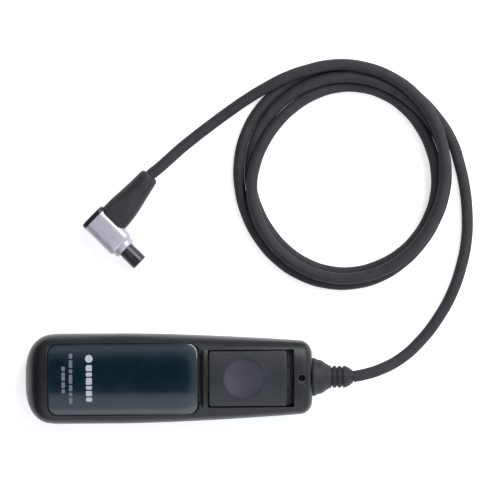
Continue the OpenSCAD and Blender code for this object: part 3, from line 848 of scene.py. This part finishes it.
def plate_marks():
    """Generic marks in place of lettering: a disc and a row of bold dashes, and two faint fine rows."""
    bold = [printed_dash(-24.6, 5.35, 7.75, 2.4, 1.15)]
    bold += dash_row(-24.6, 4.6, (1.9, 1.3, 2.1, 1.1, 1.7, 1.3), 0.4, 1.9, 0.35)
    fine = dash_row(-30.3, 8.2, (1.6, 2.4, 1.2, 2.8, 1.9, 1.1, 2), 0.45, 1.1, 0.3)
    fine += dash_row(-32.6, 4.2, (1.4, 2.6, 1.8, 1.2), 0.45, 1.1, 0.3)
    finish_piece(join("plate_marks", *bold), "plate_marks", "handset", "plate_gloss", MARKS)
    finish_piece(join("plate_fine_marks", *fine), "plate_fine_marks", "handset", "plate_gloss", FINE_MARKS)


# ---- Button -----------------------------------------------------------------------------
DIMPLE_DEPTH = 0.7
SKIRT_Z = 13.2              # lower edge of the button
BUTTON_ROOF = 15.2          # inside of its top


def button_top(x, y):
    """Crowned top that falls towards the cord, with a soft-edged dish for the thumb."""
    reach = math.hypot(x - DIMPLE_X, y) / DIMPLE_R
    dish = DIMPLE_DEPTH * max(0, 1 - reach ** 2) ** 1.25
    return crown(TOP, slope=BUTTON_SLOPE)(x, y) - dish


def detent_block():
    """Block under the button, with a notch for the detent spring at each end of the lock's travel."""
    x0, x1, low, high = 26.5, 32.7, 14.2, 15.4
    outline = [(x0, high), (x0, low)]
    for notch in (28.5, 30.5):
        outline += [(notch - 0.706, low), (notch, low + 0.75), (notch + 0.706, low)]
    outline += [(x1, low), (x1, high)]
    return loft("detent block", [[(x, y, z) for x, z in outline] for y in (-1.4, 1.4)])


def runners_and_hooks():
    """Runners that bear on the carrier, and the hooks that hold the button down on it."""
    hook_x, hook_l, hook_z, root_z = (14.5, 29.5), 4, 10.3, 15.4
    parts = []
    for side in (1, -1):
        parts.append(block(hook_x[0], hook_x[1] + hook_l, *sorted((side * 3, side * 5.2)), 12.64, root_z))
        for x in hook_x:
            parts.append(block(x, x + hook_l, *sorted((side * 5.19, side * 6.2)), hook_z, root_z))
            parts.append(block(x, x + hook_l, *sorted((side * 4.4, side * 5.3)), hook_z, hook_z + 0.8))
    return parts


def button_cap():
    x0, x1 = BUTTON_X
    middle, half = (x0 + x1) / 2, (x1 - x0) / 2
    insets = list(np.arange(0.6, 8.6, 0.24)) + [BUTTON_HALF_Y - 0.0005]
    levels = [(7.6, BUTTON_ROOF), (1, BUTTON_ROOF), (1, SKIRT_Z), (0, SKIRT_Z), (0, 14.5)]
    levels += rounded_edge(0.45, button_top, 5) + [(inset, button_top) for inset in insets]
    cap = cap_solid("button_cap", middle, half, BUTTON_HALF_Y, 0.9, levels, 64, 44, last_face=False)
    tongue = block(x1 - 0.5, x1 + 1, -TONGUE_Y, TONGUE_Y, SKIRT_Z, SKIRT_Z + 0.7)
    cap = join("button_cap", cap, tongue, detent_block(), *runners_and_hooks())
    return finish_piece(cap, "button_cap", "release_button", "button_grey", BUTTON, "button")


# ---- Cord gland, boot and plug ----------------------------------------------------------


def arc(x, r, size, start, stop, steps=4):
    """Points of a fillet in a lathe profile: centre (x, r), from start to stop degrees."""
    angles = np.linspace(math.radians(start), math.radians(stop), steps + 1)
    return [(x + size * math.cos(a), r + size * math.sin(a)) for a in angles]


def gland():
    profile = [(40.4, 0.01), (40.4, 3), (40.9, 3), (40.9, 5.2), (42.55, 5.2), (42.55, 3.6), (45.05, 3.6)]
    profile += [(45.05, 5.85)] + arc(45.35, 5.75, 0.25, 150, 90, 2) + [(45.8, 6), (46.1, 5.9), (46.5, 5.6)]
    profile += [(47, 5.45), (47.9, 5.25), (48.5, 4.95), (49.1, 4.5), (49.6, 4.15), (50.1, 3.85), (50.6, 3.6)]
    profile += [(51, 3.5)]
    for x in (51, 52.6, 54.2):          # flex grooves
        profile += [(x + 0.02, 3.44), (x + 0.08, 3.05), (x + 0.2, 2.95), (x + 0.4, 2.95), (x + 0.52, 3.05)]
        profile += [(x + 0.58, 3.4), (x + 0.66, 3.45), (x + 1.5, 3.42)]
    profile += [(55.8, 3.3), (56.3, 3.1), (56.8, 2.8), (57.4, 2.3), (57.8, 2.03), (58, 1.88), (58, 0.01)]
    piece = lathe("gland", profile, 72)
    piece.data.transform(Matrix.Translation((0, 0, SEAM * MM)))
    return finish_piece(piece, "cord_gland_moulding", "handset", "cord_rubber", BOOT, "cord_gland")


PLUG_AT = (-24.05, 51.25, 4.4)
PLUG_TURN = -45
TO_PLUG = Matrix.Translation(Vector(PLUG_AT) * MM) @ Matrix.Rotation(math.radians(PLUG_TURN), 4, "Z")
SLEEVE_HALF = 4.4
SLEEVE_R = 2.4
COLLAR_R = 2.8              # corner radius where the rings are pulled to a circle anyway
CAP_T = 1.4
CORE_R = 3.2
BARREL_R = 2.65
BARREL_END = 21.2


def at_plug(obj):
    obj.data.transform(TO_PLUG)
    return obj


def square_ring(x, half, radius, roundness=0.0):
    """Rounded square across the plug's axis, pulled towards a circle by roundness."""
    ring = []
    for y, z in rounded_outline(half, half, radius, 12):
        reach = math.hypot(y, z)
        scale = 1 + roundness * (half / reach - 1)
        ring.append((x, y * scale, z * scale))
    return ring


def pull_sleeve():
    """Satin metal sleeve: rounded square grip, chamfered shoulder, round front collar."""
    rings = [square_ring(CAP_T, SLEEVE_HALF - 0.18, SLEEVE_R - 0.15)]
    rings += [square_ring(x, SLEEVE_HALF, SLEEVE_R) for x in (CAP_T + 0.18, 4, 7, 10, 12.3)]
    rings += [square_ring(x, SLEEVE_HALF - inset, SLEEVE_R) for x, inset in ((12.8, 0.08), (13.15, 0.3))]
    rings.append(square_ring(13.32, SLEEVE_HALF - 0.62, 2.6, 0.3))
    for x, collar in ((13.4, 3.72), (14.6, 3.7), (14.85, 3.6), (15, 3.4)):
        rings.append(square_ring(x, collar, COLLAR_R, 1.0))
    sleeve = loft("sleeve", rings)
    bore = lathe("bore", [(0, 3.3), (12.2, 3.3), (12.2, 2.73), (16, 2.73)], 72)
    slot = block(2.85, 9.55, 1, 7, -2.55, 2.55)
    combine(sleeve, "DIFFERENCE", bore, slot)
    tidy(sleeve)
    at_plug(sleeve)
    return finish_piece(sleeve, "sleeve_grip", "pull_sleeve", "sleeve_metal", SLEEVE, "plug_sleeve", angle=28)


def end_cap():
    rings = [square_ring(0.5, 2.6, 0.9), square_ring(0.2, 2.8, 1.0), square_ring(0.02, 3.0, 1.2)]
    rings += [square_ring(0, 3.7, 1.9), square_ring(0.06, 4.05, 2.15), square_ring(0.22, 4.3, 2.35)]
    rings += [square_ring(0.4, SLEEVE_HALF, SLEEVE_R), square_ring(CAP_T, SLEEVE_HALF, SLEEVE_R)]
    cap = at_plug(loft("cap", rings))
    return finish_piece(cap, "end_cap_moulding", "pull_sleeve", "plug_plastic", CAP_BLACK, "plug_end_cap")


def plug_body():
    """Core, neck and barrel, with the barrel's rim rounded, its keyway and three contact holes."""
    profile = [(1.55, 0.01), (1.55, CORE_R), (9.6, CORE_R), (9.6, BARREL_R - 0.2)]
    profile += [(15.1, BARREL_R - 0.2), (15.1, BARREL_R), (20.7, BARREL_R)]
    profile += arc(BARREL_END - 0.3, BARREL_R - 0.3, 0.3, 90, 0) + [(BARREL_END, 0.01)]
    body = lathe("body", profile, 72)
    combine(body, "UNION", block(3, 8.2, 2, 4.3, -2.4, 2.4))
    cuts = [block(18.5, 23, -0.4, 0.4, 2.2, 4)]
    for side in (1, -1):
        cuts.append(block(15.55, 17.85, *sorted((side * 2.15, side * 3)), -0.7, 0.7))
    for turn in (90, 210, 330):
        hole = lathe("hole", [(14, 0.55), (22.5, 0.55)], 24)
        offset = Matrix.Rotation(math.radians(turn), 4, "X") @ Matrix.Translation((0, 0, 1.25 * MM))
        hole.data.transform(offset)
        cuts.append(hole)
    combine(body, "DIFFERENCE", *cuts)
    tidy(body)
    at_plug(body)
    return finish_piece(body, "barrel_and_core", "handset", "plug_plastic", BARREL_BLACK, "plug_body")


BOOT_LEAN = math.atan2(5.6 - 4.1, 22.05 - SLEEVE_HALF)


def boot_ring(y, middle, half_x, half_z, radius, lean):
    """Rounded rectangle or circle across the boot's axis at (middle, y). A lean, in radians, tips it."""
    ring = []
    for across, z in rounded_outline(half_x, half_z, radius, 10):
        ring.append((middle + across * math.cos(lean), y + across * math.sin(lean), z))
    return ring


def boot():
    """Moulded boot: squared foot that hugs the sleeve, a waist, then a taper to the cord."""
    stations = [
        (2.6, 5.5, 4.75, 4.2, 2.0), (4.9, 5.5, 4.75, 4.2, 2.0), (6.5, 5.45, 4.74, 4.15, 2.3),
        (8.5, 5.35, 4.65, 4.0, 2.8), (10.5, 5.22, 4.45, 3.9, 3.3), (12.5, 5.1, 4.18, 3.8, 3.7),
        (14.5, 4.9, 3.9, 3.6, 3.6), (16.5, 4.7, 3.63, 3.45, 3.45), (18.5, 4.5, 3.4, 3.3, 3.3),
        (20.3, 4.3, 3.18, 3.15, 3.15), (21.3, 4.2, 3.02, 3, 3), (21.85, 4.12, 2.65, 2.65, 2.65),
        (22.05, 4.1, 2.1, 2.1, 2.1),
    ]
    rings = []
    for y, middle, half_x, half_z, radius in stations:
        lean = BOOT_LEAN * min(1, max(0, (y - 5) / 15))
        rings.append(boot_ring(y, middle, half_x, half_z, radius, lean))
    piece = loft("boot", rings)
    combine(piece, "DIFFERENCE", loft("grown sleeve", [square_ring(x, 4.5, 2.5) for x in (-5, 20)]))
    tidy(piece)
    soften(piece, 0.2, 50, 3)
    at_plug(piece)
    return finish_piece(piece, "boot_moulding", "handset", "boot_rubber", BOOT, "plug_boot", angle=40)


# ---- Everything together ----------------------------------------------------------------
upper_shell()
lower_shell()
name_plate()
plate_marks()
button_cap()
gland_piece = gland()
sleeve_piece = pull_sleeve()
cap_piece = end_cap()
body_piece = plug_body()
boot_piece = boot()
refined("button_carrier", "carrier_plate", "carrier", "carrier_plastic", CARRIER, 0.1)
refined("case_screws", "case_screw_set", "handset", "screw_steel", SCREW, 0.06)
refined("gland_screw", "gland_grub_screw", "handset", "screw_black", SCREW_BLACK, 0.05)

flexing("return_springs", "spring_pair", "spring_steel", SPRING, "carrier", (0, 0, 4.2), (0, 0, 8.2))
BLADE_ROOT = (10, 0, 7)
for contact, tip_x in (("common", 26), ("focus", 36.7), ("release", 44.3)):
    names = f"{contact}_contact", f"{contact}_blade"
    flexing(*names, "contact_brass", BRONZE, "carrier", BLADE_ROOT, (tip_x, 0, 7))
spring_ends = [TO_PLUG @ Vector((x * MM, 0, 0)) / MM for x in (9.6, 12.2)]
spring_piece = flexing(
    "plug_lock_spring", "sleeve_spring", "spring_steel", SPRING, "pull_sleeve", *spring_ends
)

DRESS = {
    "lock_detent_spring": SPRING, "contact_base": BOARD, "contact_spacers": BOARD,
    "contact_clamp_plate": SPRING, "contact_stack_screws": SCREW, "plug_contact_sockets": GOLD,
    "plug_lock_claws": SPRING, **WIRES,
}
for node_name, material in DRESS.items():
    NODES[node_name].data.materials.clear()
    NODES[node_name].data.materials.append(material)

plug_pieces = [gland_piece, boot_piece, body_piece, sleeve_piece, cap_piece, spring_piece]
plug_pieces += [NODES[n] for n in ("plug_contact_sockets", "plug_lock_claws")]

# ---- Table and light --------------------------------------------------------------------


def make_floor():
    size = 6000
    corners = [(-size, -size, 0), (size, -size, 0), (size, size, 0), (-size, size, 0)]
    floor = new_object("floor", corners, [(0, 1, 2, 3)])
    m = Nodes("table")
    grain = m.noise(30, 3, 0.5)
    m.set(
        Base_Color=m.ramp(grain, (0.84, 0.84, 0.835), (0.88, 0.88, 0.875)), Roughness=0.7,
        Specular_IOR_Level=0.2, Emission_Color=(1.0, 1.0, 0.995), Emission_Strength=0.62,
    )
    floor.data.materials.append(m.material)


def make_light(name, place, size, power, colour):
    """Soft rectangular light, aimed at the middle of the object. Its place and size are in metres."""
    data = bpy.data.lights.new(name, "AREA")
    data.shape = "RECTANGLE"
    data.size, data.size_y = size
    data.energy = power
    data.color = colour
    light = bpy.data.objects.new(name, data)
    scene.collection.objects.link(light)
    light.location = place
    aim = Vector((0.03, 0.04, 0)) - light.location
    light.rotation_euler = aim.to_track_quat("-Z", "Y").to_euler()


def make_world():
    """Pale surroundings: dark straight overhead, so that flat tops stay dark, and dim on the left."""
    world = bpy.data.worlds.new("studio")
    scene.world = world
    world.use_nodes = True
    tree = world.node_tree

    def add(kind, **settings):
        node = tree.nodes.new(kind)
        for key, value in settings.items():
            setattr(node, key, value)
        return node

    def facing(x, y, z):
        """How nearly a direction points towards (x, y, z), which has length 1."""
        node = add("ShaderNodeVectorMath", operation="DOT_PRODUCT")
        tree.links.new(way, node.inputs[0])
        node.inputs[1].default_value = (x, y, z)
        return node.outputs["Value"]

    way = add("ShaderNodeTexCoord").outputs["Generated"]
    overhead = add("ShaderNodeValToRGB")
    tree.links.new(facing(0, 0, 1), overhead.inputs["Fac"])
    for element, position, colour in zip(
        overhead.color_ramp.elements, (0.957, 0.983), ((0.82, 0.88, 1, 1), (0.05, 0.062, 0.085, 1))
    ):
        element.position = position
        element.color = colour
    dimming = add("ShaderNodeMapRange")
    tree.links.new(facing(0.995, 0.1, 0), dimming.inputs["Value"])
    for key, value in {"From Min": -0.5, "From Max": 0.5, "To Min": 0.06, "To Max": 1.0}.items():
        dimming.inputs[key].default_value = value
    product = add("ShaderNodeVectorMath", operation="SCALE")
    tree.links.new(overhead.outputs["Color"], product.inputs[0])
    tree.links.new(dimming.outputs["Result"], product.inputs["Scale"])
    background = tree.nodes["Background"]
    tree.links.new(product.outputs["Vector"], background.inputs["Color"])
    background.inputs["Strength"].default_value = 0.8


make_floor()
make_world()
make_light("key", (0.4, 0.45, 0.6), (0.5, 0.5), 5, (1, 0.99, 0.98))
make_light("fill", (0.1, -0.6, 0.5), (0.8, 0.8), 2, (0.96, 0.97, 1))
make_light("strip", (0.02, -0.36, 0.9), (0.9, 0.3), 0.55, (0.85, 0.92, 1))
make_light("far strip", (0.02, 0.33, 0.9), (0.9, 0.1), 0.12, (0.85, 0.92, 1))
scene.view_settings.view_transform = "Standard"
